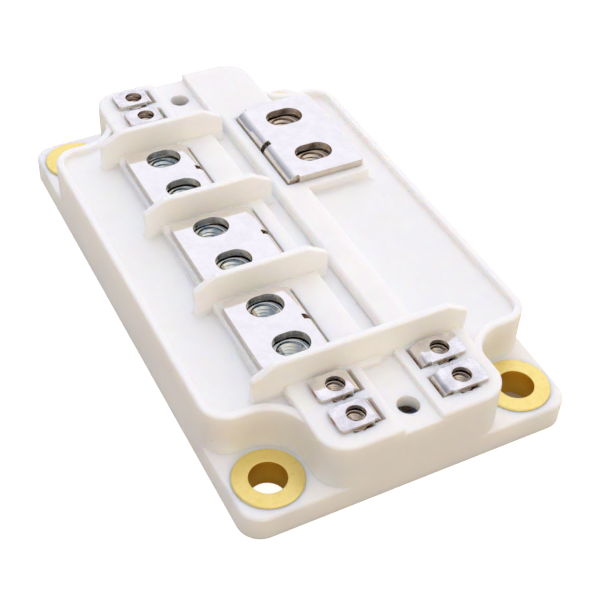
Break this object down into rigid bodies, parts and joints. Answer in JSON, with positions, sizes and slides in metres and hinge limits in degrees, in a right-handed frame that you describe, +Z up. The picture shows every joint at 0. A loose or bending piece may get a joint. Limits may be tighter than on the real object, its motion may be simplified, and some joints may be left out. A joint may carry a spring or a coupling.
{
  "type": "power mosfet module",
  "caption": "Flat power semiconductor module: moulded cap with ribbed screw-terminal plates, small control tabs and brass-bushed corner holes, on a copper-clad ceramic base.",
  "frame": {"origin": "centre of the mounting face, on the heatsink's plane", "axes": "+Z up from the heatsink, +Y along the length towards the end with one pair of tabs, +X across from the plate row to the wide terminal"},
  "size_m": [0.062, 0.1076, 0.0204],
  "materials": {
    "cap": "satin moulded",
    "brass": "turned",
    "plated_copper": "smooth nickel plating",
    "zinc_steel": "blue zinc plating",
    "nickel_steel": "nickel plating",
    "copper": "bare copper",
    "ceramic": "matt",
    "silicon": "dark polished",
    "aluminium": "drawn wire"
  },
  "bodies": {
    "root": {"housing": "cap", "bushing_near_left": "brass", "bushing_near_right": "brass", "bushing_far_left": "brass", "bushing_far_right": "brass", "source_plate_far": "plated_copper", "drain_plate_left": "plated_copper", "source_plate_near": "plated_copper", "drain_plate_right": "plated_copper", "row_nuts": "zinc_steel", "output_nuts": "nickel_steel", "control_nuts": "nickel_steel", "gate_tab_left": "plated_copper", "sense_tab_left": "plated_copper", "gate_tab_right": "plated_copper", "sense_tab_right": "plated_copper", "thermistor_tab_a": "plated_copper", "thermistor_tab_b": "plated_copper", "ceramic_plate": "ceramic", "base_copper": "copper", "drain_track_left": "copper", "drain_track_right": "copper", "source_track_far": "copper", "source_track_near": "copper", "gate_track_left": "copper", "gate_track_right": "copper", "thermistor_pads": "copper", "thermistor": "silicon", "chips_left": "silicon", "chips_right": "silicon", "source_ribbons_left": "aluminium", "source_ribbons_right": "aluminium", "gate_wires_left": "aluminium", "gate_wires_right": "aluminium", "control_wires": "aluminium"}
  },
  "joints": []
}
